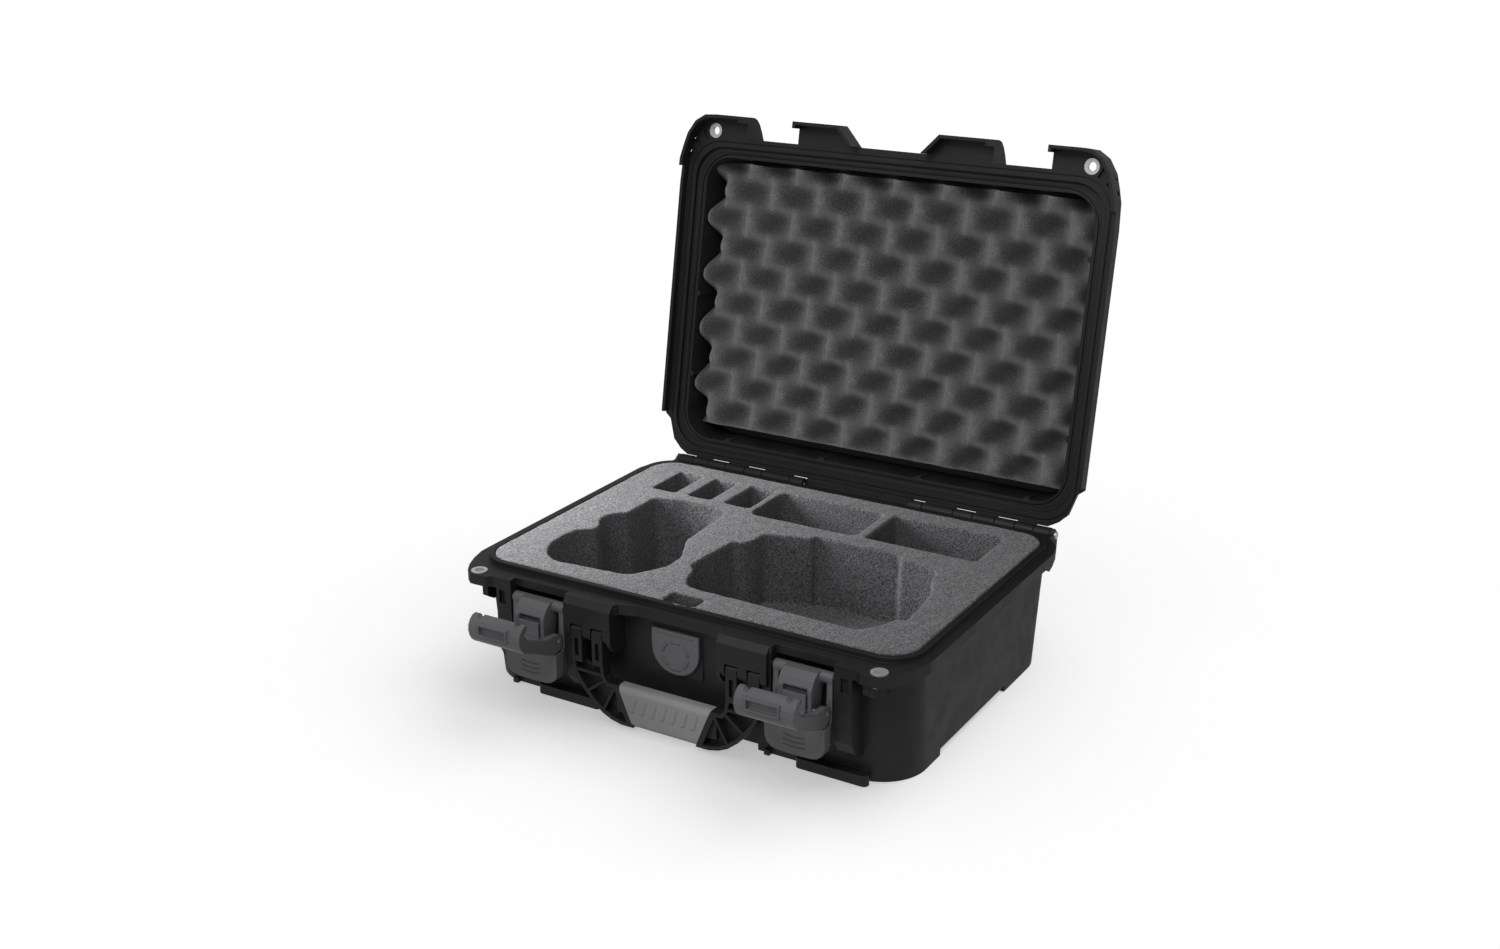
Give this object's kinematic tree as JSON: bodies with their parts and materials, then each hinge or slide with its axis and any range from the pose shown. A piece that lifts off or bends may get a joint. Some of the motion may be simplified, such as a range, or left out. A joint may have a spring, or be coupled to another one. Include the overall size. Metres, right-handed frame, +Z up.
{
  "type": "carrying_case",
  "caption": "Hard plastic carrying case with hinged lid, two lever latches, folding handle and a foam insert cut to hold a small drone and its controller.",
  "frame": {"origin": "centre of the flat underside", "axes": "+Z up, +Y towards the hinge side, +X to the right seen from the latch side"},
  "size_m": [0.364, 0.4077, 0.3637],
  "materials": {
    "case_resin": "satin",
    "latch_plastic": "satin",
    "grip_rubber": "matte",
    "seal_rubber": "matte",
    "steel": "brushed",
    "case_foam": "matte",
    "lid_foam_grey": "matte",
    "valve_plastic": "satin",
    "membrane_white": "matte"
  },
  "bodies": {
    "base": {"base_shell": "case_resin", "base_foam_pad": "case_foam", "base_foam_insert": "case_foam", "valve_housing": "valve_plastic", "valve_oring": "seal_rubber", "valve_membrane": "membrane_white", "valve_cover": "latch_plastic", "base_eyelet_left": "steel", "hinge_pin_left": "steel", "handle_pin_left": "steel", "latch_pin_left": "steel", "base_eyelet_right": "steel", "hinge_pin_right": "steel", "handle_pin_right": "steel", "latch_pin_right": "steel"},
    "lid": {"lid_shell": "case_resin", "lid_gasket": "seal_rubber", "lid_foam": "lid_foam_grey", "lid_eyelet_left": "steel", "lid_eyelet_right": "steel"},
    "handle": {"handle_frame": "case_resin", "handle_grip": "grip_rubber"},
    "lever_left": {"latch_lever_left": "latch_plastic"},
    "claw_left": {"latch_claw_left": "latch_plastic", "claw_pin_left": "steel"},
    "lock_left": {"slide_lock_left": "latch_plastic"},
    "lever_right": {"latch_lever_right": "latch_plastic"},
    "claw_right": {"latch_claw_right": "latch_plastic", "claw_pin_right": "steel"},
    "lock_right": {"slide_lock_right": "latch_plastic"}
  },
  "joints": [
    {"name": "lid_hinge", "type": "hinge", "parent": "base", "child": "lid", "pos_m": [0, 0.13405, 0.0865], "axis": [-1, 0, 0], "range_deg": [-100.57, 0]},
    {"name": "handle_swing", "type": "hinge", "parent": "base", "child": "handle", "pos_m": [0, -0.1355, 0.0645], "axis": [-1, 0, 0], "range_deg": [0, 90]},
    {"name": "latch_lever_left", "type": "hinge", "parent": "base", "child": "lever_left", "pos_m": [-0.1045, -0.133, 0.0755], "axis": [-1, 0, 0], "range_deg": [0, 75]},
    {"name": "latch_claw_left", "type": "hinge", "parent": "lever_left", "child": "claw_left", "pos_m": [-0.1045, -0.143, 0.055], "axis": [1, 0, 0], "range_deg": [-77, 0]},
    {"name": "slide_lock_left", "type": "slide", "parent": "lever_left", "child": "lock_left", "axis": [0, 0, 1], "range_m": [0, 0.004]},
    {"name": "latch_lever_right", "type": "hinge", "parent": "base", "child": "lever_right", "pos_m": [0.1045, -0.133, 0.0755], "axis": [-1, 0, 0], "range_deg": [0, 75]},
    {"name": "latch_claw_right", "type": "hinge", "parent": "lever_right", "child": "claw_right", "pos_m": [0.1045, -0.143, 0.055], "axis": [1, 0, 0], "range_deg": [-77, 0]},
    {"name": "slide_lock_right", "type": "slide", "parent": "lever_right", "child": "lock_right", "axis": [0, 0, 1], "range_m": [0, 0.004]}
  ]
}
